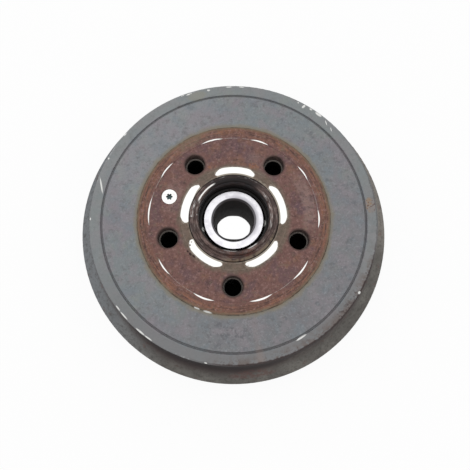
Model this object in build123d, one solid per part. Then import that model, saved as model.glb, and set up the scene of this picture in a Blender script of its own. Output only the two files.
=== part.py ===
from build123d import *
import os
from math import asin, cos, degrees, radians, sin, tan

# Rear brake drum of a small car, bolted up with its hub and wheel bearing.
# Millimetres, +Z along the axle towards the wheel, origin on the axis in the plane
# of the drum's open rim, which is the face that it stands on.

# ---------------------------------------------------------------- driving dimensions
# Wheel fixing
bolt_circle_d = 100.0  # five M14 x 1.5 wheel bolts
bolt_count = 5
bolt_first_angle = 54.0  # one bolt hole lies straight down, at 270 degrees
bolt_hole_d = 15.0  # clearance hole through the drum
bolt_thread_minor_d = 12.4  # tapped hole in the hub flange
hole_chamfer = 0.4

# Drum casting
drum_height = 60.0  # open rim to the lands that the wheel is clamped on
web_thickness = 7.5  # lands to the hub seat
friction_d = 200.0
friction_bore_wear = 0.3  # worn path, on the radius
friction_start = 4.0  # unworn lip at the open rim
friction_width = 42.0  # worn path of the brake shoes, 40 mm wide shoes with float
corner_groove_depth = 1.2  # run-out groove between the friction bore and the web
corner_groove_width = 3.5
wear_step_slope = 0.5  # run from the unworn lip to the worn path
rim_wall = 8.5  # friction bore to the outside of the ring, at the open rim
rim_mouth_chamfer = 1.5
dirt_groove_width = 3.0  # groove in the rim for the backing plate's edge
dirt_groove_depth = 9.0
dirt_lip_wall = 4.0
lip_rounding = 0.8
flange_d = 238.0  # stiffening flange, the drum's largest diameter
flange_top_z = 27.0
flange_thickness = 11.0
flange_rounding = 1.5
flange_taper = 2.0  # draft under the flange, in height
face_edge_d = 210.8
face_edge_band = 3.0  # height of the turned band under the face's edge
face_edge_step = 0.8  # band above the rough casting, on the radius
face_step = 1.0  # painted face below the wheel lands
cove_foot_r = 108.2  # where the cone of the outside meets the flange's slope
cove_foot_z = 35.0
cove_radius = 18.0
ring_groove_d = 193.2  # line turned in the painted face
ring_groove_width = 1.7
ring_groove_depth = 1.0

# Wheel clamping face
wheel_pad_d = 140.6
outer_land_inner_d = 123.4
inner_land_outer_d = 77.6
land_relief = 0.4  # face between the two lands, below them
hub_recess_gap = 3.0  # recess under the web, round the hub's flange

# Hub
drum_spigot_d = 65.0
drum_fit = 0.05  # drum bore over its spigot, on the radius
wheel_spigot_d = 57.1
wheel_spigot_height = 6.0  # above the wheel lands
spigot_proud = 0.8  # drum spigot above the wheel lands
cap_bore_d = 51.0  # seat for the grease cap
cap_seat_depth = 9.0
cap_stop_step = 0.5  # the bore behind the seat is smaller, on the radius
hub_flange_margin = 11.0  # metal outside the bolt circle
hub_flange_thickness = 10.0
hub_flange_rounding = 1.5
hub_fillet = 5.0  # flange to barrel
spigot_chamfer = 1.0
spigot_rounding = 0.8
thread_chamfer = 1.0
barrel_wall = 6.5
barrel_shoulder = 1.0  # stop for the sensor ring
barrel_end_wall = 2.85  # hub metal below the snap ring's groove
barrel_chamfer = 0.8
bearing_stop_depth = 0.8  # bearing's stop face below the drum's seat on the hub

# Bearing, a double-row angular contact cartridge
bearing_bore_d = 30.0
bearing_outside_d = 62.0
bearing_outer_width = 44.0
inner_ring_standout = 2.0  # inner rings past the outer ring, each end
pitch_d = 47.0
ball_d = 9.525
ball_count = 12
row_spacing = 19.0
race_clearance = 0.10  # ball surface to raceway
inner_land_drop = 1.4  # inner ring's high shoulder inside the pitch circle
inner_low_drop = 3.9
outer_land_rise = 1.7  # outer ring's high shoulder outside the pitch circle
outer_low_rise = 3.7
bearing_chamfer = 1.6
ring_edge_chamfer = 0.3
outer_ring_chamfer = 1.0
bore_edge_rounding = 0.2
clip_groove_depth = 0.9  # recess in the bore for the clip that keeps the rings together
clip_groove_reach = 3.5  # half the recess's width
clip_gap_angle = 14.0

# Cages, seals
cage_thickness = 2.2
cage_back = 2.2  # solid ring behind the balls
cage_prong_reach = 2.6  # prongs past the balls' centres
seal_depth = 4.2
seal_inset = 0.5
seal_face_thickness = 1.3
seal_rim_wall = 1.3
seal_lip_thickness = 1.0
seal_lip_reach = 2.5  # lip's edge below the seal's face
seal_lip_slope = 1.4  # face to lip, on the radius
seal_rounding = 0.4
running_clearance = 0.05

# Snap ring
snap_ring_thickness = 2.0
snap_ring_width = 3.6
snap_groove_depth = 1.5
snap_gap_angle = 16.0
snap_ear_d = 7.0
snap_ear_hole_d = 2.5
snap_ear_overhang = 2.2  # ears inside the ring, past their own radius

# Wheel speed ring
tooth_count = 43
tone_ring_width = 9.0
tone_root_wall = 2.2
tooth_height = 2.3
tooth_share = 0.5  # tooth over pitch
tooth_root = 0.5  # tooth sunk in the ring that carries it

# Drum screw, M6 countersunk with a six-lobe recess
screw_angle = 162.0
screw_d = 6.0
screw_length = 16.0
screw_head_d = 11.4
cone_angle = 90.0  # screw head, countersinks and hole chamfers
screw_hole_d = 6.6
screw_head_edge = 0.3  # cylindrical edge of the head
screw_point = 0.6  # chamfer at the screw's end
screw_inset = 0.1
recess_d = 5.0
recess_depth = 2.4
recess_lobe_d = 1.4
recess_lobes = 6

fit_gap = 0.02  # pressed seats, on the radius
soft_edge = 0.5  # small rounding of turned inner corners

# ---------------------------------------------------------------- derived places
land_z = drum_height
relief_z = land_z - land_relief
face_z = land_z - face_step
hub_seat_z = land_z - web_thickness
web_under_z = face_z - web_thickness
bolt_circle_r = bolt_circle_d / 2
hub_flange_r = bolt_circle_r + hub_flange_margin
flange_under_z = hub_seat_z - hub_flange_thickness
spigot_top_z = land_z + wheel_spigot_height
bearing_stop_z = hub_seat_z - bearing_stop_depth
outer_ring_end_z = bearing_stop_z - bearing_outer_width
bearing_mid_z = bearing_stop_z - bearing_outer_width / 2
race_front_z = bearing_stop_z + inner_ring_standout
race_rear_z = outer_ring_end_z - inner_ring_standout
snap_groove_z = outer_ring_end_z - snap_ring_thickness - 3 * running_clearance
barrel_end_z = snap_groove_z - barrel_end_wall
bearing_seat_r = bearing_outside_d / 2 + fit_gap
barrel_r = bearing_seat_r + barrel_wall
pitch_r = pitch_d / 2
ball_r = ball_d / 2
raceway_r = ball_r + race_clearance
inner_land_r = pitch_r - inner_land_drop
inner_low_r = pitch_r - inner_low_drop
outer_land_r = pitch_r + outer_land_rise
outer_low_r = pitch_r + outer_low_rise
bore_r = bearing_bore_d / 2


def turned(*corners):
    """Solid turned about Z. A corner is (radius, height) or (radius, height, rounding)."""
    points = [corner[:2] for corner in corners]
    rounding = [corner[2] if len(corner) == 3 else 0 for corner in corners]
    with BuildPart() as body:
        with BuildSketch(Plane.XZ):
            with BuildLine():
                FilletPolyline(*points, radius=rounding, close=True)
            make_face()
        revolve(axis=Axis.Z)
    return body.part


def tube(inner_r, outer_r, low_z, high_z):
    return turned((inner_r, low_z), (outer_r, low_z), (outer_r, high_z), (inner_r, high_z))


def bolt_places():
    """Places of the wheel bolts on their circle."""
    return PolarLocations(bolt_circle_r, bolt_count, start_angle=bolt_first_angle)


def screw_place(z):
    return Pos(bolt_circle_r * cos(radians(screw_angle)), bolt_circle_r * sin(radians(screw_angle)), z)


def brake_drum():
    """Cast drum: wheel lands, painted face, coved outside, flange, friction bore."""
    chamfer_in = hole_chamfer
    countersink_r = screw_head_d / 2 + screw_inset + screw_head_edge + running_clearance
    friction_r = friction_d / 2
    worn_r = friction_r + friction_bore_wear
    worn_top_z = friction_start + friction_width
    groove_r = worn_r + corner_groove_depth
    rim_r = friction_r + rim_wall
    lip_in_r = rim_r + dirt_groove_width
    lip_out_r = lip_in_r + dirt_lip_wall
    flange_r = flange_d / 2
    flange_foot_z = flange_top_z - flange_thickness
    edge_r = face_edge_d / 2
    pad_r = wheel_pad_d / 2
    groove_mid_r = ring_groove_d / 2
    half_groove = ring_groove_width / 2
    hub_recess_r = hub_flange_r + hub_recess_gap
    seat_r = drum_spigot_d / 2 + drum_fit
    casting = turned(
        (seat_r, hub_seat_z),
        (seat_r, land_z - chamfer_in),
        (seat_r + chamfer_in, land_z),
        (inner_land_outer_d / 2, land_z, land_relief / 3),
        (inner_land_outer_d / 2 + land_relief, relief_z),
        (outer_land_inner_d / 2 - land_relief, relief_z),
        (outer_land_inner_d / 2, land_z, land_relief / 3),
        (pad_r, land_z, face_step / 3),
        (pad_r + face_step / 2, face_z, face_step / 3),
        (groove_mid_r - half_groove, face_z, ring_groove_depth / 4),
        (groove_mid_r - half_groove / 2, face_z - ring_groove_depth, ring_groove_depth / 4),
        (groove_mid_r + half_groove / 2, face_z - ring_groove_depth, ring_groove_depth / 4),
        (groove_mid_r + half_groove, face_z, ring_groove_depth / 4),
        (edge_r, face_z, face_edge_band / 3),
        (edge_r, face_z - face_edge_band, soft_edge),
        (edge_r - face_edge_step, face_z - face_edge_band - face_edge_step, soft_edge),
        (cove_foot_r, cove_foot_z, cove_radius),
        (flange_r, flange_top_z, flange_rounding),
        (flange_r, flange_foot_z, flange_rounding),
        (lip_out_r, flange_foot_z - flange_taper, flange_rounding),
        (lip_out_r, 0, lip_rounding),
        (lip_in_r, 0, lip_rounding),
        (lip_in_r, dirt_groove_depth, dirt_groove_width / 2.5),
        (rim_r, dirt_groove_depth, dirt_groove_width / 2.5),
        (rim_r, 0, lip_rounding),
        (friction_r + rim_mouth_chamfer, 0),
        (friction_r, rim_mouth_chamfer),
        (friction_r, friction_start - wear_step_slope),
        (worn_r, friction_start),
        (worn_r, worn_top_z),
        (groove_r, worn_top_z, soft_edge),
        (groove_r, web_under_z, corner_groove_width),
        (hub_recess_r + face_step, web_under_z, soft_edge),
        (hub_recess_r, hub_seat_z),
    )
    with BuildPart() as drum:
        add(casting)
        with Locations((0, 0, relief_z)):
            with bolt_places():
                CounterSinkHole(
                    bolt_hole_d / 2, bolt_hole_d / 2 + hole_chamfer, web_thickness, cone_angle
                )
            with Locations(screw_place(0)):
                CounterSinkHole(screw_hole_d / 2, countersink_r, web_thickness, cone_angle)
    return drum.part


def wheel_hub():
    """Forged hub: flange with tapped holes, two spigots, grease cap seat, bearing bore."""
    drum_spigot_r = drum_spigot_d / 2
    wheel_spigot_r = wheel_spigot_d / 2
    cap_r = cap_bore_d / 2
    thread_r = bolt_thread_minor_d / 2
    shoulder_z = land_z + spigot_proud
    step_rounding = min(spigot_rounding, (drum_spigot_r - wheel_spigot_r) / 3)
    shoulder_rounding = min(soft_edge, (drum_spigot_r - wheel_spigot_r) / 3)
    tone_stop_z = barrel_end_z + tone_ring_width
    snap_r = bearing_seat_r + snap_groove_depth
    forging = turned(
        (cap_r - cap_stop_step, bearing_stop_z),
        (cap_r - cap_stop_step, spigot_top_z - cap_seat_depth),
        (cap_r, spigot_top_z - cap_seat_depth),
        (cap_r, spigot_top_z - spigot_chamfer),
        (cap_r + spigot_chamfer, spigot_top_z),
        (wheel_spigot_r, spigot_top_z, spigot_rounding),
        (wheel_spigot_r, shoulder_z, step_rounding),
        (drum_spigot_r, shoulder_z, shoulder_rounding),
        (drum_spigot_r, hub_seat_z),
        (hub_flange_r, hub_seat_z, hub_flange_rounding),
        (hub_flange_r, flange_under_z, hub_flange_rounding),
        (barrel_r + barrel_shoulder, flange_under_z, hub_fillet),
        (barrel_r + barrel_shoulder, tone_stop_z),
        (barrel_r, tone_stop_z),
        (barrel_r, barrel_end_z, barrel_chamfer),
        (bearing_seat_r + barrel_chamfer, barrel_end_z),
        (bearing_seat_r, barrel_end_z + barrel_chamfer),
        (bearing_seat_r, snap_groove_z),
        (snap_r, snap_groove_z),
        (snap_r, outer_ring_end_z),
        (bearing_seat_r, outer_ring_end_z),
        (bearing_seat_r, bearing_stop_z, soft_edge),
    )
    with BuildPart() as hub:
        add(forging)
        with Locations((0, 0, hub_seat_z)):
            with bolt_places():
                CounterSinkHole(
                    thread_r, thread_r + thread_chamfer, hub_flange_thickness, cone_angle
                )
            with Locations(screw_place(0)):
                Hole(screw_d / 2 + running_clearance, depth=hub_flange_thickness)
    return hub.part


def drum_screw():
    """Countersunk screw that holds the drum on the hub while the wheel is off."""
    head_r = screw_head_d / 2
    shank_r = screw_d / 2
    edge = screw_head_edge
    head_depth = (head_r - shank_r) / tan(radians(cone_angle / 2))
    top_z = relief_z - screw_inset
    lobe_r = recess_lobe_d / 2
    body = turned(
        (0, top_z),
        (head_r - edge / 2, top_z),
        (head_r, top_z - edge),
        (shank_r, top_z - edge - head_depth),
        (shank_r, top_z - screw_length + screw_point),
        (shank_r - screw_point, top_z - screw_length),
        (0, top_z - screw_length),
    )
    with BuildPart() as recess:
        with BuildSketch(Plane.XY.offset(top_z)):
            Circle(recess_d / 2 - lobe_r)
            with PolarLocations(recess_d / 2 - lobe_r, recess_lobes):
                Circle(lobe_r)
        extrude(amount=-recess_depth)
    return screw_place(0) * (body - recess.part)


def bearing_outer_ring():
    """Outer ring: two raceways with their high shoulders between the rows, seal seats."""
    outside_r = bearing_outside_d / 2
    front, rear = bearing_stop_z, outer_ring_end_z
    row_z = [bearing_mid_z + row_spacing / 2, bearing_mid_z - row_spacing / 2]
    ring = turned(
        (outer_low_r, rear),
        (outside_r - outer_ring_chamfer, rear),
        (outside_r, rear + outer_ring_chamfer),
        (outside_r, front - outer_ring_chamfer),
        (outside_r - outer_ring_chamfer, front),
        (outer_low_r, front),
        (outer_low_r, row_z[0]),
        (outer_land_r, row_z[0]),
        (outer_land_r, row_z[1]),
        (outer_low_r, row_z[1]),
    )
    for z in row_z:
        ring -= Pos(0, 0, z) * Torus(pitch_r, raceway_r)
    return ring


def inner_ring(side):
    """One of the two inner rings, the front one for side 1 and the rear one for side -1."""
    half = (race_front_z - race_rear_z) / 2
    recess_r = bore_r + clip_groove_depth
    row = row_spacing / 2
    ring = turned(
        (recess_r, 0),
        (inner_low_r, 0),
        (inner_low_r, side * row),
        (inner_land_r, side * row),
        (inner_land_r, side * (half - ring_edge_chamfer)),
        (inner_land_r - ring_edge_chamfer, side * half),
        (bore_r + bearing_chamfer, side * half, bore_edge_rounding),
        (bore_r, side * (half - bearing_chamfer), bore_edge_rounding),
        (bore_r, side * clip_groove_reach),
        (recess_r, side * clip_groove_reach),
    )
    ring -= Pos(0, 0, side * row) * Torus(pitch_r, raceway_r)
    return Pos(0, 0, bearing_mid_z) * ring


def inner_ring_clip():
    """Split spring band in the bore's recess, which keeps the two inner rings together."""
    reach = clip_groove_reach - 3 * running_clearance
    outer_r = bore_r + clip_groove_depth - fit_gap
    band = tube(bore_r + fit_gap, outer_r, bearing_mid_z - reach, bearing_mid_z + reach)
    gap = 2 * outer_r * sin(radians(clip_gap_angle / 2))
    with BuildPart() as clip:
        add(band)
        with Locations((outer_r, 0, bearing_mid_z)):
            Box(outer_r, gap, 3 * reach, mode=Mode.SUBTRACT)
    return clip.part


def balls(side):
    """The balls of one row, spaced by their cage."""
    z = bearing_mid_z + side * row_spacing / 2
    return [Pos(0, 0, z) * place * Sphere(ball_r) for place in PolarLocations(pitch_r, ball_count)]


def cage(side):
    """Moulded snap cage: a ring behind the balls, with prongs that hold them in pockets."""
    pocket_r = ball_r + race_clearance
    inner_r = pitch_r - cage_thickness / 2
    outer_r = pitch_r + cage_thickness / 2
    z = bearing_mid_z + side * row_spacing / 2
    ends = sorted((side * (ball_r + cage_back), -side * cage_prong_reach))
    body = tube(inner_r, outer_r, z + ends[0], z + ends[1])
    for place in PolarLocations(pitch_r, ball_count):
        body -= Pos(0, 0, z) * place * Sphere(pocket_r)
    return body


def seal(side):
    """Rubber-covered seal pressed in the outer ring, its lip running on the inner ring."""
    half = bearing_outer_width / 2 - seal_inset
    rim_r = outer_low_r - fit_gap
    lip_r = inner_land_r + running_clearance
    under = half - seal_face_thickness
    ring = turned(
        (rim_r, side * (half - seal_depth)),
        (rim_r, side * half, seal_rounding),
        (lip_r + seal_lip_slope, side * half, seal_rounding),
        (lip_r, side * (half - seal_lip_reach)),
        (lip_r + seal_lip_thickness / 2, side * (half - seal_lip_reach - seal_lip_thickness / 2)),
        (lip_r + seal_lip_slope + seal_lip_thickness, side * under, seal_rounding),
        (rim_r - seal_rim_wall, side * under, seal_rounding),
        (rim_r - seal_rim_wall, side * (half - seal_depth)),
    )
    return Pos(0, 0, bearing_mid_z) * ring


def bearing_snap_ring():
    """Internal snap ring in the hub's groove, with two drilled ears for the pliers."""
    low_z = snap_groove_z + running_clearance
    outer_r = bearing_seat_r + snap_groove_depth - running_clearance
    inner_r = outer_r - snap_ring_width
    ear_r = inner_r + snap_ear_overhang - snap_ear_d / 2
    half_gap = snap_gap_angle / 2
    ear_angle = half_gap + 2 * degrees(asin(snap_ear_d / 4 / ear_r))
    with BuildPart() as ring:
        with BuildSketch(Plane.XY.offset(low_z)):
            Circle(outer_r)
            Circle(inner_r, mode=Mode.SUBTRACT)
            gap = 2 * inner_r * sin(radians(half_gap))
            with Locations((0, -outer_r)):
                Rectangle(gap, outer_r, mode=Mode.SUBTRACT)
            for sign in (-1, 1):
                angle = radians(270 + sign * ear_angle)
                with Locations((ear_r * cos(angle), ear_r * sin(angle))):
                    Circle(snap_ear_d / 2)
                    Circle(snap_ear_hole_d / 2, mode=Mode.SUBTRACT)
        extrude(amount=snap_ring_thickness)
    return ring.part


def wheel_speed_ring():
    """Toothed ring pressed on the hub's barrel, read by the wheel speed sensor."""
    seat_r = barrel_r + fit_gap
    root_r = seat_r + tone_root_wall
    tip_r = root_r + tooth_height
    top_z = barrel_end_z + tone_ring_width
    pitch = 2 * tip_r * sin(radians(180 / tooth_count))
    with BuildPart() as ring:
        with BuildSketch(Plane.XY.offset(barrel_end_z)):
            Circle(root_r)
            with PolarLocations(root_r + (tooth_height - tooth_root) / 2, tooth_count):
                Rectangle(tooth_height + tooth_root, pitch * tooth_share)
            Circle(seat_r, mode=Mode.SUBTRACT)
        extrude(amount=top_z - barrel_end_z)
    return ring.part


pieces = {
    "brake_drum": brake_drum(),
    "wheel_hub": wheel_hub(),
    "drum_screw": drum_screw(),
    "bearing_outer_ring": bearing_outer_ring(),
    "inner_ring_front": inner_ring(1),
    "inner_ring_rear": inner_ring(-1),
    "inner_ring_clip": inner_ring_clip(),
    "cage_front": cage(1),
    "cage_rear": cage(-1),
    "seal_front": seal(1),
    "seal_rear": seal(-1),
    "bearing_snap_ring": bearing_snap_ring(),
    "wheel_speed_ring": wheel_speed_ring(),
}
for row, side in (("front", 1), ("rear", -1)):
    for number, ball in enumerate(balls(side), start=1):
        pieces[f"ball_{row}_{number}"] = ball

os.makedirs("parts", exist_ok=True)
for name, solid in pieces.items():
    export_step(solid, f"parts/{name}.step")
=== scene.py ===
from math import cos, degrees, pi, radians, sin

import bpy
from mathutils import Matrix, Vector

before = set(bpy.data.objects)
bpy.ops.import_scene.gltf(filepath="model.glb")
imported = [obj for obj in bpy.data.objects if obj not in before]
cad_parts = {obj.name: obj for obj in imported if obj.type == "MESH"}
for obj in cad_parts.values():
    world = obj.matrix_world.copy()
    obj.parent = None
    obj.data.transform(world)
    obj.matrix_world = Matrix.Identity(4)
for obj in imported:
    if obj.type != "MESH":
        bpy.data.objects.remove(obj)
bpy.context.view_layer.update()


# Brake drum. One grey iron casting, turned on its working faces and sprayed grey before use.
# The wheel has worn two lands bare round the bolt circle, their brightness partly painted
# highlight, and what it covered has rusted. The shoes have polished the bore, and the
# outside is dull with brake dust.
class Wire:
    """One output of a shader node. Sums written on wires add the Math nodes for them."""

    def __init__(self, finish, socket):
        self.finish = finish
        self.socket = socket

    def math(self, operation, *terms):
        return self.finish.node("Math", {"operation": operation}, dict(enumerate(terms)))

    def __add__(self, other):
        return self.math("ADD", self, other)

    def __radd__(self, other):
        return self.math("ADD", other, self)

    def __sub__(self, other):
        return self.math("SUBTRACT", self, other)

    def __rsub__(self, other):
        return self.math("SUBTRACT", other, self)

    def __mul__(self, other):
        return self.math("MULTIPLY", self, other)

    def __rmul__(self, other):
        return self.math("MULTIPLY", other, self)

    def __truediv__(self, other):
        return self.math("DIVIDE", self, other)

    def __pow__(self, other):
        return self.math("POWER", self, other)

    def __abs__(self):
        return self.math("ABSOLUTE", self)

    def __or__(self, other):
        return self.math("MAXIMUM", self, other)

    def step(self, low, high):
        """0 below low and 1 above high, smooth between them."""
        sockets = {"Value": self, "From Min": low, "From Max": high}
        return self.finish.node("MapRange", {"interpolation_type": "SMOOTHSTEP"}, sockets)

    def band(self, low, high, soft):
        """1 between low and high, falling off over soft at both ends."""
        return self.step(low - soft, low + soft) * (1 - self.step(high - soft, high + soft))


class Finish:
    """A material under construction. node() adds any node and gives one of its outputs."""

    bolt_circle = 50.0  # radius in mm, as every length in the masks
    first_bolt = 54.0  # degrees
    half_pitch = 36.0

    def __init__(self, name):
        self.material = bpy.data.materials.new(name)
        self.material.use_nodes = True
        self.tree = self.material.node_tree
        self.shader = self.tree.nodes["Principled BSDF"]
        self.place = self.node("TexCoord", {}, {}, "Object")
        self.x, self.y, self.z = (
            self.node("SeparateXYZ", {}, {0: self.place}, axis) * 1000 for axis in "XYZ"
        )
        self.radius = (self.x * self.x + self.y * self.y) ** 0.5
        self.angle = self.x.math("ARCTAN2", self.y, self.x) * degrees(1)

    def node(self, kind, settings, sockets, output=0):
        added = self.tree.nodes.new("ShaderNode" + kind)
        for name, value in settings.items():
            setattr(added, name, value)
        for key, value in sockets.items():
            self.feed(added.inputs[key], value)
        return Wire(self, added.outputs[output])

    def feed(self, socket, value):
        if isinstance(value, Wire):
            self.tree.links.new(value.socket, socket)
        else:
            socket.default_value = value

    def noise(self, size, detail=3.0, roughness=0.55, stretch=(1, 1, 1)):
        """Cloudy noise about 0.5, with clouds size millimetres across."""
        place = self.node("VectorMath", {"operation": "MULTIPLY"}, {0: self.place, 1: stretch})
        sockets = {"Vector": place, "Scale": 1000 / size}
        return self.node("TexNoise", {}, {**sockets, "Detail": detail, "Roughness": roughness})

    def ringed(self, wide, long, detail=3.0, roughness=0.6):
        """Noise drawn out round the axis, in streaks wide millimetres by long degrees."""
        turned = [part / self.radius * (degrees(1) / long) for part in (self.x, self.y)]
        across = (self.radius + self.z) / wide
        place = self.node("CombineXYZ", {}, {0: turned[0], 1: turned[1], 2: across})
        sockets = {"Vector": place, "Scale": 1.0, "Detail": detail, "Roughness": roughness}
        return self.node("TexNoise", {}, sockets)

    def turned_from(self, middle, half_turn=180.0):
        """Degrees round the axis from middle, wrapped to half_turn on either side."""
        limits = {1: half_turn, 2: -half_turn}
        return self.node("Math", {"operation": "WRAP"}, {0: self.angle - middle, **limits})

    def from_bolt(self):
        """Distance to the nearest wheel bolt's axis, in millimetres."""
        turn = self.turned_from(self.first_bolt, self.half_pitch) * radians(1)
        outward = self.radius * turn.math("COSINE", turn) - self.bolt_circle
        sideways = self.radius * turn.math("SINE", turn)
        return (outward * outward + sideways * sideways) ** 0.5

    def coat(self, under, over, where):
        """Colour over laid on colour under, as thick as where says."""
        return self.node("Mix", {"data_type": "RGBA"}, {0: where, 6: under, 7: over}, 2)

    def arc(self, angles, radii, soft=4.0):
        """1 on an arc between two angles and two radii, fading out at its ends."""
        return self.angle.band(*angles, soft) * self.radius.band(*radii, 0.15)

    def mark(self, at_angle, at_radius, long, wide, lean=0.0):
        """1 in a nick of long by wide millimetres that lies round the axis, or leans."""
        turn = radians(at_angle + 90 + lean)
        dx = self.x - at_radius * cos(radians(at_angle))
        dy = self.y - at_radius * sin(radians(at_angle))
        along = (dx * cos(turn) + dy * sin(turn)) / long
        across = (dy * cos(turn) - dx * sin(turn)) / wide
        return 1 - (along * along + across * across).step(0.1, 0.3)

    def bump(self, height, depth):
        """Surface normal for a height of 0 to 1 that stands for depth millimetres."""
        sockets = {"Strength": 1.0, "Distance": depth / 1000, "Height": height}
        return self.node("Bump", {}, sockets)

    def set(self, **sockets):
        """Feeds the shader. Names are its sockets, with _ for a space."""
        for name, value in sockets.items():
            self.feed(self.shader.inputs[name.replace("_", " ")], value)

    def dress(self, *nodes):
        """Gives CAD nodes this material in every slot that they have."""
        for name in nodes:
            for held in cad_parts[name].material_slots:
                held.material = self.material


def shade(red, green, blue):
    """Screen colour, 0 to 255, as the linear colour that a shader takes."""
    linear = [((part / 255 + 0.055) / 1.055) ** 2.4 for part in (red, green, blue)]
    return (*linear, 1.0)


drum = Finish("drum_paint_and_rust")
spigot_hole = 33.0  # radii in mm
outer_land = 61.65
pad_edge = 70.3
groove = (95.8, 97.4)
rim_edge = 104.8
cavity_edge = 102.2
worn_bore = (99.5, 101.2)
web_underside = 52.0  # heights in mm
painted_above = 57.6
pad_height = 59.1
worn_path = (4.0, 46.0)

fine = drum.noise(1.5, 4, 0.7)
grain = drum.noise(0.7, 2, 0.6)
blotch = drum.noise(9, 4, 0.6)
speckle = drum.noise(3.2, 4, 0.7)

# Paint: greys that drift into each other, greener at the left and warmer at the right,
# with small blue and mauve patches and darker smudges.
patches = drum.noise(11, 4, 0.6)
smudges = drum.noise(7, 3, 0.6)
clouds = drum.noise(24, 3)
paint = drum.coat(shade(122, 128, 130), shade(125, 123, 129), clouds.step(0.42, 0.6))
paint = drum.coat(paint, shade(128, 133, 128), drum.noise(15, 3).step(0.52, 0.7) * 0.7)
# Darker towards the lower right. Lighter at the upper left and darker at the front: painted light
# and shade.
paint = drum.coat(paint, shade(116, 114, 117), (drum.x - drum.y).step(-60, 150) * 0.7)
paint = drum.coat(paint, shade(145, 146, 149), drum.angle.band(102, 168, 14) * 0.4)
paint = drum.coat(paint, shade(109, 109, 112), drum.angle.band(-112, -50, 14) * 0.4)
paint = drum.coat(paint, shade(115, 124, 130), patches.step(0.5, 0.64) * 0.6)
paint = drum.coat(paint, shade(134, 126, 131), (1 - patches.step(0.36, 0.5)) * 0.55)
smudges = smudges.step(0.58, 0.7) * drum.x.step(-140, 70)
paint = drum.coat(paint, shade(96, 100, 105), smudges * 0.75)
paint = drum.coat(paint, shade(97, 97, 98), speckle.step(0.5, 0.7) * 0.65)
paint = drum.coat(paint, shade(102, 103, 106), grain.step(0.54, 0.68) * 0.5)
paint = drum.coat(paint, shade(147, 149, 152), fine.step(0.5, 0.7) * 0.5)
dark_patch = drum.mark(-93, 84, 34, 20) * speckle.step(0.5, 0.6)
paint = drum.coat(paint, shade(88, 89, 94), dark_patch * 0.55)
on_rim = drum.radius.step(97.5, 98.5)
# The rim is painted darker at the front: painted shade.
rim_front_shade = on_rim * drum.angle.band(-150, -28, 18)
paint = drum.coat(paint, shade(131, 136, 134), on_rim * 0.45)
paint = drum.coat(paint, shade(112, 110, 112), rim_front_shade * 0.55)

# Dust and rust bleed from the pad on to the paint, in a ring a few millimetres wide.
ragged_radius = drum.radius + (speckle - 0.5) * 2.6 + (blotch - 0.5) * 2.4 + (fine - 0.5) * 1.2
bled = 1 - (ragged_radius + (blotch - 0.5) * 3).step(pad_edge + 0.6, pad_edge + 4.2)
paint = drum.coat(paint, shade(127, 119, 102), bled * 0.8)
# The groove is painted darker: dirt in it and painted shade.
paint = drum.coat(paint, shade(72, 70, 71), drum.radius.band(*groove, 0.6) * 0.5)
paint = drum.coat(paint, shade(138, 136, 122), drum.mark(107, 100.5, 16, 8) * 0.5)

# Rust along the rim's edge at the lower right, a streak and a stain.
quarter = drum.angle.band(-96, -14, 8)
rust_clouds = (blotch * 0.45 + speckle * 0.55).step(0.43, 0.57)
rim_rust = drum.radius.step(96, 105) * quarter * rust_clouds
worst = drum.angle.band(-44, -31, 3)
rim_spots = drum.radius.step(97.5, 103) * quarter * (fine + worst * 0.06).step(0.56, 0.64)
streak = drum.angle.band(-80.2, -77.4, 1.2) * drum.radius.step(71, 78)
streak = streak * (0.12 + drum.radius.step(90, 98) * 0.3)
stain = drum.mark(6.5, 101.2, 13, 8)
tan_stain = drum.mark(6.5, 100, 12, 6) * (speckle * 0.5 + fine * 0.5).step(0.46, 0.54)
paint = drum.coat(paint, shade(98, 82, 74), rim_rust * 0.7)
paint = drum.coat(paint, shade(54, 38, 36), rim_spots * (0.55 + worst * 0.3))
paint = drum.coat(paint, shade(136, 118, 110), streak | stain * 0.4)
paint = drum.coat(paint, shade(150, 122, 90), tan_stain * 0.7)
paint = drum.coat(paint, shade(74, 36, 33), stain * fine.step(0.56, 0.6) * 0.85)
# A dark line along the rim's edge: rust where the paint has flaked, and painted shade where the
# wall drops away under it.
rough_radius = drum.radius + (speckle - 0.5) * 2.4
edge_rust_and_shade = rough_radius.step(rim_edge - 1.1, rim_edge - 0.3) * drum.angle.band(-104, 34, 14)
paint = drum.coat(paint, shade(44, 28, 27), edge_rust_and_shade * (0.4 + quarter * 0.5))

# Rust of the pad: rosy brown with mauve and dark grains, more orange towards the edge,
# where the wheel has dragged it into rings.
gritty = drum.noise(1.9, 3, 0.75)
streaks = drum.ringed(0.9, 12)
near_edge = drum.radius.step(61, 66)
rust = drum.coat(shade(114, 81, 75), shade(103, 76, 77), drum.noise(13, 4).step(0.48, 0.62))
rust = drum.coat(rust, shade(128, 92, 74), blotch.step(0.52, 0.7) * 0.7)
rust = drum.coat(rust, shade(122, 84, 66), near_edge * 0.6)
rust = drum.coat(rust, shade(148, 100, 75), near_edge * streaks.step(0.53, 0.65) * 0.65)
rust = drum.coat(rust, shade(64, 45, 42), near_edge * (1 - streaks.step(0.38, 0.48)) * 0.75)
rust = drum.coat(rust, shade(146, 118, 106), near_edge * drum.angle.band(98, 138, 12) * 0.22)
rust = drum.coat(rust, shade(112, 98, 82), drum.noise(2.8, 3, 0.7).step(0.56, 0.66) * 0.55)
pale_rust = drum.angle.band(-6, 32, 10) * drum.radius.band(51, 60, 1.5)
pale_rust = pale_rust | drum.angle.band(150, 174, 8) * drum.radius.band(42, 54, 2) * 0.8
pale_rust = pale_rust | drum.angle.band(60, 78, 6) * drum.radius.band(44, 52, 2) * 0.6
rust = drum.coat(rust, shade(146, 126, 120), pale_rust * blotch.step(0.34, 0.5) * 0.45)
mauve = drum.mark(9, 49, 11, 9) | drum.mark(84, 54, 18, 10) * 0.7
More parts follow.
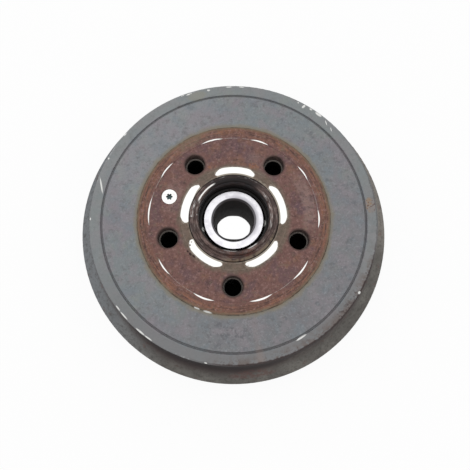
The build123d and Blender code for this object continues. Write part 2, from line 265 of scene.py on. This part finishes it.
rust = drum.coat(rust, shade(96, 74, 82), mauve * speckle.step(0.4, 0.5) * 0.7)
orange = drum.mark(70, 42, 9, 6) | drum.mark(113, 43, 7, 6) | drum.mark(97, 67, 16, 5) * 0.6
rust = drum.coat(rust, shade(146, 98, 68), orange * speckle.step(0.42, 0.52) * 0.7)
rust = drum.coat(rust, shade(76, 54, 50), speckle.step(0.54, 0.7) * 0.75)
rust = drum.coat(rust, shade(82, 58, 56), gritty.step(0.54, 0.64) * 0.5)
rust = drum.coat(rust, shade(146, 114, 108), (1 - gritty.step(0.36, 0.46)) * 0.6)
rust = drum.coat(rust, shade(58, 42, 40), drum.noise(2.4, 3, 0.6).step(0.62, 0.74) * 0.8)
olive_rays = drum.angle.band(55, 59, 2) | drum.angle.band(112, 130, 3) * 0.8
olive_rays = olive_rays * drum.radius.step(61, 65) * speckle.step(0.4, 0.55)
rust = drum.coat(rust, shade(116, 104, 84), olive_rays * 0.6)
scoured = 1 - (drum.radius + (blotch - 0.5) * 7 + (gritty - 0.5) * 2).step(38.5, 43)
rust = drum.coat(rust, shade(112, 100, 87), scoured * 0.75)
rust = drum.coat(rust, shade(84, 76, 64), scoured * gritty.step(0.48, 0.6) * 0.6)
# Pale lines at the centre hole's edge and along the bars' outer edge: worn edges and painted
# highlight.
pale_edges = drum.radius.band(33.2, 34.0, 0.3) | drum.radius.band(38.3, 38.9, 0.3) * 0.6
pale_edges = pale_edges | drum.angle.band(45, 62, 4) * drum.radius.band(33.2, 34.6, 0.3) * 1.6
rust = drum.coat(rust, shade(158, 148, 134), pale_edges * speckle.step(0.4, 0.6) * 0.45)
rust = drum.coat(rust, shade(118, 99, 78), ragged_radius.step(67.8, 70) * 0.75)
# A broken dark line along the pad's edge, at the foot of its step: painted shade.
pad_step_shade = drum.radius.band(pad_edge - 0.3, pad_edge + 0.5, 0.25)
broken_up = drum.noise(14, 2).step(0.38, 0.52)
rust = drum.coat(rust, shade(64, 49, 42), pad_step_shade * broken_up * 0.8)
# The pad is painted darker round each bolt hole: painted shade at the holes' edges.
bolt_hole_shade = 1 - drum.from_bolt().step(7.8, 9.2)
rust = drum.coat(rust, shade(70, 52, 49), bolt_hole_shade * 0.75)
on_pad = 1 - ragged_radius.step(pad_edge - 0.4, pad_edge + 0.9)

# Where the wheel touched: a bar on the inner land between each two bolts, rounded at
# its ends, and two thin crescents on the outer land's inner edge, beside the bolts. The
# metal there is bare, and painted near white, brighter than bare iron: a painted highlight.
swing = abs(drum.turned_from(drum.first_bolt - drum.half_pitch, drum.half_pitch))
ragged = speckle - 0.5
along_degree = 0.632  # millimetres to a degree on the inner land
end_length, end_height, end_round = 6.5, 3.5, 1.5
heel_length, heel_height = 2.0, 1.8
from_tip = drum.radius + 99
for middle, half in ((18.1, 25.3), (89.1, 24.3), (161.9, 25.4), (233, 24.6), (308, 23.8)):
    off = abs(drum.turned_from(middle))
    from_tip = from_tip.math("MINIMUM", from_tip, (off - half) * along_degree)
from_tip = from_tip + ragged * 1.2 + (fine - 0.5) * 1.0
bar_inside = 34.0 - (1 - drum.x.step(-31, -26)) * 1.1
past_end = ((from_tip + end_length) / end_length) | 0
past_top = ((drum.radius - 35.6 + (fine - 0.5) * 0.5) / end_height) | 0
low_end = ((from_tip + heel_length) / heel_length) | 0
past_low = ((bar_inside + heel_height - drum.radius) / heel_height) | 0
past = (past_end ** end_round + past_top ** end_round) ** (1 / end_round)
past = past | ((low_end * low_end + past_low * past_low) ** 0.5)
bar = 1 - past.step(0.92, 1.04)
dusty_strip = (1 - past_end.step(0.9, 1.0)) * drum.radius.step(32.3, 32.7)
crescent_width = 0
for middle, half, wide in (
    (0, 7, 1.1), (34.5, 6.8, 1.0), (72.3, 7, 1.1), (106, 8.5, 1.1), (144.5, 7.5, 1.1),
    (176, 11, 1.1), (216.5, 7.2, 1.1), (250.5, 8, 1.3), (289, 8.4, 1.4), (321.8, 9, 1.2),
):
    off = drum.turned_from(middle) / half
    crescent_width = (1 - off * off) * wide | crescent_width
from_edge = drum.radius - outer_land + ragged * 0.25
crescent = from_edge.step(-0.1, 0.1) * (1 - (from_edge - crescent_width).step(-0.3, 0.1))
crescent = crescent * crescent_width.step(0.05, 0.4)
# A pale hairline along the outer land's inner edge: wear and painted highlight.
hairline = drum.radius.band(outer_land - 0.15, outer_land + 0.25, 0.2)
hairline = hairline * (1 - swing.step(20, 22)) * speckle.step(0.36, 0.56)
contact_and_highlight = (bar | crescent) * on_pad
crumbs = drum.mark(213.5, 37.5, 1.8, 1.3) | drum.mark(217.5, 38.4, 1.8, 1.1)
crumbs = crumbs | drum.mark(211, 35.4, 1.4, 1) | drum.mark(137.5, 36.8, 2.2, 1.2)
crumbs = crumbs | drum.mark(287, 36.5, 2, 1.4, 20)
contact_and_highlight = contact_and_highlight * (1 - crumbs * ragged.step(-0.1, 0.1))
grains = drum.mark(221.3, 41.2, 3, 1.8) | drum.mark(225.4, 40.4, 3, 1.6)
grains = grains | drum.mark(217.6, 41.4, 2, 1.4)
halo = past.band(1.02, 1.25, 0.1) * speckle.step(0.42, 0.6)
rust = drum.coat(rust, shade(170, 160, 146), halo * 0.5)
rust = drum.coat(rust, shade(166, 156, 143), dusty_strip * (1 - drum.radius.step(33.9, 34.2)))
rust = drum.coat(rust, shade(50, 30, 30), grains)

# Nicks through the paint along the rim's edge. The two marks on the pad's edge are painted glints
# along its step.
nicks_and_glints = drum.mark(299.5, 97.7, 9, 1.5, 4)
for at_angle, at_radius, long, wide, lean in (
    (44, 101.2, 4, 0.7, -32), (47.5, 102.4, 4.5, 0.8, -32), (52.3, 103.9, 6, 2.2, 0),
    (56.2, 103.9, 2.6, 1.5, 0), (59.4, 102.9, 3.7, 2.0, 75), (62.2, 103.6, 1.4, 1.0, 0),
    (87.4, 104.2, 4.5, 0.9, 0), (92.8, 104.1, 5, 1.0, 0), (101.5, 103.2, 2.5, 1.8, 0),
    (110, 103.8, 5, 1.2, 4), (112.8, 104.4, 3, 0.8, 0), (142.3, 104.6, 3, 1.2, 0),
    (154.6, 104.1, 1.8, 1.2, 0), (166.5, 101.0, 13, 1.3, 26), (181.1, 104.6, 2.2, 1.1, 0),
    (219.4, 104.5, 5, 1.1, 0), (223.2, 104.6, 8, 1.1, 0), (232.1, 104.6, 8.5, 1.4, 0),
    (236, 104.7, 7, 1.1, 0), (260, 104.8, 2.4, 1.0, 0), (329.3, 104.3, 2.6, 1.9, 0),
    (255.5, 70.5, 7, 1.3, 0), (249, 70.4, 5, 1.1, 0),
):
    nicks_and_glints = nicks_and_glints | drum.mark(at_angle, at_radius, long, wide, lean)
nicks_and_glints = nicks_and_glints * drum.noise(2.0, 3).step(0.26, 0.42) * drum.z.step(57.7, 58.3)
# A broken light line along the rim's outer edge, away from the front and the right: scuffed paint
# and a painted edge highlight.
rim_scuffs_and_highlight = (speckle * 0.5 + drum.noise(18, 2) * 0.5).step(0.54, 0.62)
rim_scuffs_and_highlight = rim_scuffs_and_highlight * drum.radius.step(rim_edge - 1, rim_edge)
rim_scuffs_and_highlight = rim_scuffs_and_highlight * (1 - drum.angle.band(-100, 30, 10))

# Outside: brake dust and thin rust, greyer at the left, with painted light and shade on
# the cone and in the cove.
dust = drum.noise(14, 4, 0.6)
wall = drum.coat(shade(97, 94, 90), shade(113, 110, 105), dust.step(0.4, 0.65))
# Lighter at the left and at the right: painted light.
wall = drum.coat(wall, shade(124, 128, 132), (1 - drum.x.step(-112, -40)) * 0.85)
wall = drum.coat(wall, shade(138, 133, 127), drum.angle.band(-6, 40, 10) * 0.75)
wall = drum.coat(wall, shade(104, 76, 70), drum.noise(8, 4, 0.65).step(0.58, 0.7) * 0.5)
wall = drum.coat(wall, shade(66, 63, 59), speckle.step(0.48, 0.68) * 0.5)
wall = drum.coat(wall, shade(64, 61, 58), fine.step(0.52, 0.66) * 0.45)
# Darker under the rim's edge and near black in the cove, deepest at the front: painted shade.
deepest = drum.angle.band(-128, -74, 16)
shade_fall = 1 - drum.radius.step(107.5 + deepest, 112 + deepest * 4)
wall = drum.coat(wall, shade(62, 51, 50), shade_fall * (0.6 + deepest * 0.25))
red_bloom = drum.mark(-82, 112, 38, 7) * speckle.step(0.4, 0.54)
wall = drum.coat(wall, shade(98, 68, 64), red_bloom * 0.5)
in_cove = 1 - drum.radius.step(106.2, 108.2 + deepest * 4)
wall = drum.coat(wall, shade(28, 19, 20), in_cove * (0.7 + deepest * 0.22))

# Inside: dusty iron, and the path that the shoes have turned bright with fine rings.
rings = drum.noise(1.1, 3, 0.7, (0.02, 0.02, 1))
dusty = drum.coat(shade(72, 62, 56), shade(102, 72, 54), blotch.step(0.5, 0.7) * 0.7)
hole_wall = drum.coat(shade(92, 72, 66), shade(64, 49, 46), speckle.step(0.4, 0.6))
polished = drum.coat(shade(150, 148, 145), shade(106, 102, 99), rings.step(0.42, 0.62))
on_path = drum.z.band(*worn_path, 0.3) * drum.radius.band(*worn_bore, 0.2)
inside = drum.coat(dusty, polished, on_path)
is_inside = 1 - drum.radius.step(cavity_edge - 0.2, cavity_edge + 0.2)
is_inside = is_inside * (1 - drum.z.step(web_underside, web_underside + 0.3))

top = drum.coat(paint, rust, on_pad)
top = drum.coat(top, shade(214, 206, 200), hairline * on_pad * 0.35)
top = drum.coat(top, shade(252, 251, 248), contact_and_highlight)
top = drum.coat(top, shade(172, 174, 176), rim_scuffs_and_highlight * 0.7)
on_top = drum.z.step(painted_above - 0.5, painted_above + 0.5)
in_hole = (1 - drum.radius.step(60, 61)) * (1 - drum.z.step(pad_height, pad_height + 0.3))
colour = drum.coat(wall, top, on_top)
colour = drum.coat(colour, hole_wall, in_hole)
# The drum's centre hole round the hub's collar is painted near black: painted shade in the gap.
spigot_hole_shade = 1 - drum.radius.step(spigot_hole - 0.1, spigot_hole + 0.1)
colour = drum.coat(colour, shade(26, 21, 20), spigot_hole_shade)
colour = drum.coat(colour, inside, is_inside)
colour = drum.coat(colour, shade(228, 228, 225), nicks_and_glints)
bright = (contact_and_highlight * drum.z.step(58, 58.5)) | (on_path * is_inside)
relief = (fine * 0.5 + speckle * 0.5) * (0.2 + on_pad * 0.9) * (1 - bright)
rough_casting = (1 - on_top) * (1 - is_inside)
drum.set(
    Base_Color=colour,
    Metallic=bright * 0.9,
    Roughness=0.6 - bright * 0.3 + on_pad * 0.2 * (1 - bright) + rough_casting * 0.4,
    Normal=drum.bump(relief + grain * 0.15 - nicks_and_glints * 0.5, 0.3),
)
drum.dress("brake_drum")


# Wheel hub. A steel forging, turned to locate the drum and the wheel, with five tapped
# holes for the wheel bolts. It is bare, and has darkened under grease and thin rust;
# painted shade and painted highlights are laid over that.
hub = Finish("hub_steel_darkened")
cap_seat = 25.5  # radii in mm
collar_gap = (32.3, 33.4)
flange_height = 52.2  # heights in mm
collar_height = 64.0
stain = hub.noise(7, 4, 0.65)
lay = hub.ringed(0.5, 20)
streaks = hub.ringed(0.8, 16, 4, 0.65)
glints = hub.ringed(0.7, 9, 2)
steel = hub.coat(shade(80, 66, 63), shade(114, 94, 89), stain.step(0.42, 0.64))
steel = hub.coat(steel, shade(54, 40, 38), (1 - streaks.step(0.4, 0.5)) * 0.75)
steel = hub.coat(steel, shade(158, 148, 142), streaks.step(0.54, 0.66) * 0.6)
near_side = hub.angle.band(-106, -58, 10)
steel = hub.coat(steel, shade(94, 56, 46), near_side * hub.noise(4, 4, 0.7).step(0.42, 0.6) * 0.75)
rim_dust = hub.radius.band(30.4, 32.6, 0.5) * hub.angle.band(-100, -22, 10)
rim_dust = rim_dust * hub.z.step(60, 60.4) * stain.step(0.4, 0.55)
steel = hub.coat(steel, shade(136, 122, 100), rim_dust * 0.6)
far_side = hub.angle.band(52, 130, 14)
# The collar is painted darker on its far side, and darkest inside its top edge there: painted
# shade.
steel = hub.coat(steel, shade(40, 31, 31), far_side * (0.65 + lay * 0.5))
steel = hub.coat(steel, shade(24, 19, 19), far_side * (1 - hub.radius.step(28.8, 29.8)) * 0.85)
# The bore above the bearing is painted near black: painted shade, with rust on its far side.
in_bore = 1 - hub.radius.step(cap_seat, cap_seat + 0.5)
bore_rust = far_side * hub.z.step(56, 61) * stain.step(0.4, 0.6)
bore = hub.coat(shade(22, 18, 18), shade(58, 42, 39), bore_rust)
steel = hub.coat(steel, bore, in_bore * 0.95)
# The gap round the collar is painted near black, less so at the front: painted shade between the
# parts.
gap_shows = 1 - hub.angle.band(-150, -62, 14) * 0.7
in_gap = hub.radius.band(*collar_gap, 0.15) * hub.z.step(flange_height + 0.4, flange_height + 0.8)
steel = hub.coat(steel, shade(24, 20, 19), in_gap * gap_shows)
# Everything below the flange's front face is painted near black: painted shade inside the drum and
# down the tapped holes.
on_flange = 1 - hub.z.step(flange_height, flange_height + 0.6)
steel = hub.coat(steel, shade(12, 11, 11), on_flange)
# A pale ring on the chamfer of each tapped hole: a painted glint.
thread_chamfer_glint = hub.from_bolt().band(6.3, 7.2, 0.2) * hub.z.step(50.6, 51.2)
steel = hub.coat(steel, shade(158, 150, 143), thread_chamfer_glint * on_flange * (0.4 + lay * 0.6))
near_top = hub.z.step(collar_height, collar_height + 1)
# Bright arcs along the collar's edges: painted highlights.
collar_highlights = hub.arc((122, 156), (27.3, 29.0)) * hub.z.step(collar_height + 0.2, collar_height + 0.8)
collar_highlights = collar_highlights | hub.arc((-66, -50), (25.3, 26.3), 3) * near_top * 0.7
collar_highlights = collar_highlights | hub.arc((-105, -85), (25.3, 26.1), 4) * near_top * 0.4
collar_highlights = collar_highlights | hub.arc((158, 196), (29.6, 31.6), 6) * glints.step(0.46, 0.6) * 0.65
collar_highlights = collar_highlights | hub.arc((156, 204), (26.0, 27.6), 8) * glints.step(0.5, 0.64) * 0.5
collar_highlights = collar_highlights | hub.arc((-20, 46), (26.2, 28.0), 12) * glints.step(0.48, 0.64) * 0.35
upper_edge = hub.arc((56, 80), (31.2, 32.3), 8) | hub.arc((100, 122), (31.2, 32.3), 8)
collar_highlights = collar_highlights | upper_edge * glints.step(0.5, 0.66) * 0.45
hub.set(
    Base_Color=hub.coat(steel, shade(250, 248, 245), collar_highlights),
    Metallic=0.5 - collar_highlights * 0.4,
    Roughness=0.4 + stain * 0.3,
    Normal=hub.bump(lay * 0.4 + stain * 0.6, 0.15),
)
hub.dress("wheel_hub")


# Drum screw. An M6 countersunk screw, bright zinc plated, that keeps the drum on the hub
# while the wheel is off. Its head is painted near white, brighter than zinc: a painted
# highlight. The socket for the key is painted dark: painted shade.
zinc = Finish("zinc_plate")
recess_shade = 1 - zinc.z.step(58.2, 59.2)
dulled = zinc.noise(2, 3).step(0.5, 0.7)
plate = zinc.coat(shade(252, 251, 248), shade(232, 232, 233), dulled)
plate = zinc.coat(plate, shade(70, 84, 84), recess_shade)
zinc.set(
    Base_Color=plate,
    Metallic=0.9,
    Roughness=0.28 + zinc.noise(1.2, 2) * 0.15,
    Normal=zinc.bump(zinc.noise(0.7, 2), 0.03),
)
zinc.dress("drum_screw")


# Bearing rings. Hardened chrome steel, ground all over. The inner rings' bore is brown with
# old grease where it sat on the axle, and painted near black as shade. Their faces are
# clean and bright, painted brighter than steel as a highlight.
def ground_steel(name, bore_radius, face_radius):
    """Ground steel with a fine lay round the axis, a greased bore in painted shade, and a bore
    chamfer in painted light and shade.
    """
    ring = Finish(name)
    lay = ring.noise(0.5, 2, 0.6, (0.15, 0.15, 1))
    haze = ring.noise(5, 3)
    scratched = ring.noise(1.6, 4, 0.7).step(0.54, 0.7)
    # The face is near white, brighter than ground steel: a painted highlight.
    face = ring.coat(shade(247, 246, 250), shade(234, 232, 238), haze.step(0.45, 0.62))
    # Greyer next to the bore on one side: painted shade.
    face_shade_near_bore = 1 - ring.radius.step(face_radius + 0.2, face_radius + 3.4)
    face_shade_near_bore = face_shade_near_bore * ring.angle.band(-50, 100, 30)
    face = ring.coat(face, shade(182, 180, 186), face_shade_near_bore * 0.95)
    face = ring.coat(face, shade(176, 173, 184), scratched * (0.22 + face_shade_near_bore * 0.4))
    # The bore is painted near black: old grease and painted shade.
    bore_grease_and_shade = ring.coat(shade(24, 18, 18), shade(42, 32, 31), haze.step(0.4, 0.65))
    in_bore = 1 - ring.radius.step(bore_radius + 0.15, bore_radius + 0.5)
    on_chamfer = 1 - ring.radius.step(face_radius - 0.2, face_radius + 0.4)
    # The bore chamfer is lighter at the right and dark at the top and bottom: painted light and
    # shade.
    chamfer = ring.coat(shade(118, 116, 120), shade(142, 139, 144), ring.angle.band(-26, 24, 16))
    chamfer = ring.coat(chamfer, shade(70, 66, 68), ring.angle.band(46, 130, 16))
    chamfer = ring.coat(chamfer, shade(72, 70, 73), ring.angle.band(-126, -44, 20))
    face = ring.coat(face, chamfer, on_chamfer)
    ring.set(
        Base_Color=ring.coat(face, bore_grease_and_shade, in_bore),
        Metallic=0.95 - in_bore * 0.9 - on_chamfer * (1 - in_bore) * 0.7,
        Roughness=0.26 + haze * 0.12 + in_bore * 0.5,
        Normal=ring.bump(lay, 0.02),
    )
    return ring


ground_steel("inner_ring_steel", 15.0, 16.6).dress("inner_ring_front", "inner_ring_rear")
ground_steel("outer_ring_steel", 0.0, 0.0).dress("bearing_outer_ring")


# Balls. Polished chrome steel, twelve to a row, with a film of grease.
polish = Finish("ball_polish")
film = polish.noise(3, 3)
polish.set(
    Base_Color=polish.coat(shade(226, 226, 230), shade(190, 176, 140), film.step(0.5, 0.7) * 0.5),
    Metallic=0.95,
    Roughness=0.1 + film * 0.15,
)
polish.dress(*(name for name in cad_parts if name.startswith("ball_")))


# Cages. Black nylon with glass fibre, moulded in one piece and snapped over the balls.
nylon = Finish("cage_nylon")
speck = nylon.noise(0.6, 3)
nylon.set(
    Base_Color=nylon.coat(shade(34, 34, 35), shade(50, 50, 51), speck.step(0.5, 0.7)),
    Roughness=0.45 + speck * 0.2,
    Normal=nylon.bump(speck, 0.03),
)
nylon.dress("cage_front", "cage_rear")


# Seals. Rubber moulded on a steel insert, pressed in the outer ring. A little grease has
# worked out past the lip and shines in places; two pale marks on it are painted glints.
rubber = Finish("seal_rubber")
grease = rubber.noise(2.5, 3, 0.6)
wet = grease.step(0.56, 0.66)
# Two painted glints on the seal.
seal_glints = rubber.mark(-4, 22.8, 3.0, 5.0, 90) | rubber.mark(-163, 23.3, 2.6, 4.0, 90)
film = rubber.coat(shade(22, 20, 20), shade(44, 38, 34), wet)
rubber.set(
    Base_Color=rubber.coat(film, shade(205, 205, 200), seal_glints),
    Roughness=0.5 - (wet | seal_glints) * 0.3,
    Normal=rubber.bump(grease, 0.12),
)
rubber.dress("seal_front", "seal_rear")


# Clip and snap ring. Blued spring steel: one keeps the inner rings together, under the
# grease of their bore, and the other keeps the whole bearing in the hub. The clip is
# painted near black: grease and the painted shade of the bore.
def spring_steel(name, dark, light, metallic, roughness):
    blued = Finish(name)
    tint = blued.noise(4, 3)
    blued.set(
        Base_Color=blued.coat(dark, light, tint.step(0.45, 0.65)),
        Metallic=metallic,
        Roughness=roughness + tint * 0.2,
        Normal=blued.bump(blued.noise(0.8, 2), 0.03),
    )
    return blued


# Near black: grease and painted shade.
greasy_shaded_clip = spring_steel("greasy_shaded_spring", shade(28, 24, 24), shade(40, 34, 32), 0.05, 0.7)
greasy_shaded_clip.dress("inner_ring_clip")
clean = spring_steel("blued_spring", shade(58, 58, 64), shade(84, 74, 68), 0.8, 0.35)
clean.dress("bearing_snap_ring")


# Wheel speed ring. Sintered steel with square teeth, pressed on the hub's barrel; it is
# thinly rusted all over, and its dark colour is thin rust and painted shade inside the drum.
sinter = Finish("sintered_steel")
pores = sinter.noise(0.7, 4, 0.7)
bloom = sinter.noise(5, 4, 0.65)
sinter.set(
    Base_Color=sinter.coat(shade(58, 54, 52), shade(76, 54, 43), bloom.step(0.5, 0.68)),
    Metallic=0.5,
    Roughness=0.5 + bloom * 0.25,
    Normal=sinter.bump(pores, 0.06),
)
sinter.dress("wheel_speed_ring")


# Studio. A pale floor under a wide soft light, and a camera that looks down on the
# drum from the front. Under the drum the floor is painted dark, a painted shadow, and a
# spot below the bore glows white, a painted pool of light.
floor_size = 6.0
card_glow = 0.93  # of white, where no shadow falls
bpy.ops.mesh.primitive_plane_add(size=floor_size)
floor = bpy.context.object
floor.name = "studio_floor"

card = Finish("floor_card")
seen = card.node("LightPath", {}, {}, "Is Camera Ray")
seen = seen | card.node("LightPath", {}, {}, "Is Glossy Ray")
seen = seen | card.node("LightPath", {}, {}, "Is Transmission Ray")
# A spot below the bore glows white: a painted pool of light.
spot_middle, spot_reach, spot_round = (0.2, 6.5), (13.7, 10.0), 2.4
across = (abs(card.x - spot_middle[0]) / spot_reach[0]) ** spot_round
along = (abs(card.y - spot_middle[1]) / spot_reach[1]) ** spot_round
lit_through_bore = 1 - (across + along).step(0.96, 1.05)
# Under the drum the floor is painted dark: a painted shadow.
shadowed = 1 - card.radius.step(98, 102)
glow = card.node("Emission", {}, {"Color": (1, 1, 1, 1), "Strength": 1.0})
card.set(Base_Color=card.coat(shade(240, 240, 240), shade(30, 28, 27), shadowed), Roughness=0.9)
lit = seen * ((card_glow * (1 - shadowed)) | lit_through_bore)
laid = card.node("MixShader", {}, {0: lit, 1: Wire(card, card.shader.outputs[0]), 2: glow})
card.tree.links.new(laid.socket, card.tree.nodes["Material Output"].inputs[0])
floor.data.materials.append(card.material)

sky = bpy.data.worlds.new("studio")
bpy.context.scene.world = sky
sky.use_nodes = True
sky_shader = sky.node_tree.nodes["Background"]
sky_strength = 0.705
sky_shader.inputs["Color"].default_value = (1, 1, 1, 1)
sky_shader.inputs["Strength"].default_value = sky_strength


def soft_light(name, size, place, aim, radiance):
    """A square area light that shines with the same strength all over."""
    lamp = bpy.data.lights.new(name, "AREA")
    lamp.size = size
    lamp.energy = radiance * pi * size * size
    held = bpy.data.objects.new(name, lamp)
    held.location = place
    held.rotation_euler = (Vector(aim) - Vector(place)).to_track_quat("-Z", "Y").to_euler()
    bpy.context.collection.objects.link(held)


soft_light("overhead_light", 3.0, (-0.1, 0.35, 1.45), (0, 0, 0.05), 0.44)

lens_mm = 40.92
sensor_mm = 36.0
camera_place = Vector((-0.00078, -0.09472, 0.4375))
camera_aim = Vector((-0.00115, -0.01367, 0.060))
camera_roll = 0.48
frame_shift = (0.0065, 0.0023)

camera = bpy.data.objects.new("camera", bpy.data.cameras.new("camera"))
camera.data.lens = lens_mm
camera.data.sensor_width = sensor_mm
camera.data.shift_x, camera.data.shift_y = frame_shift
camera.data.clip_start = 0.01
facing = (camera_aim - camera_place).to_track_quat("-Z", "Y").to_matrix().to_4x4()
rolled = Matrix.Rotation(radians(camera_roll), 4, "Z")
camera.matrix_world = Matrix.Translation(camera_place) @ facing @ rolled
bpy.context.collection.objects.link(camera)
bpy.context.scene.camera = camera
bpy.context.scene.view_settings.view_transform = "Standard"
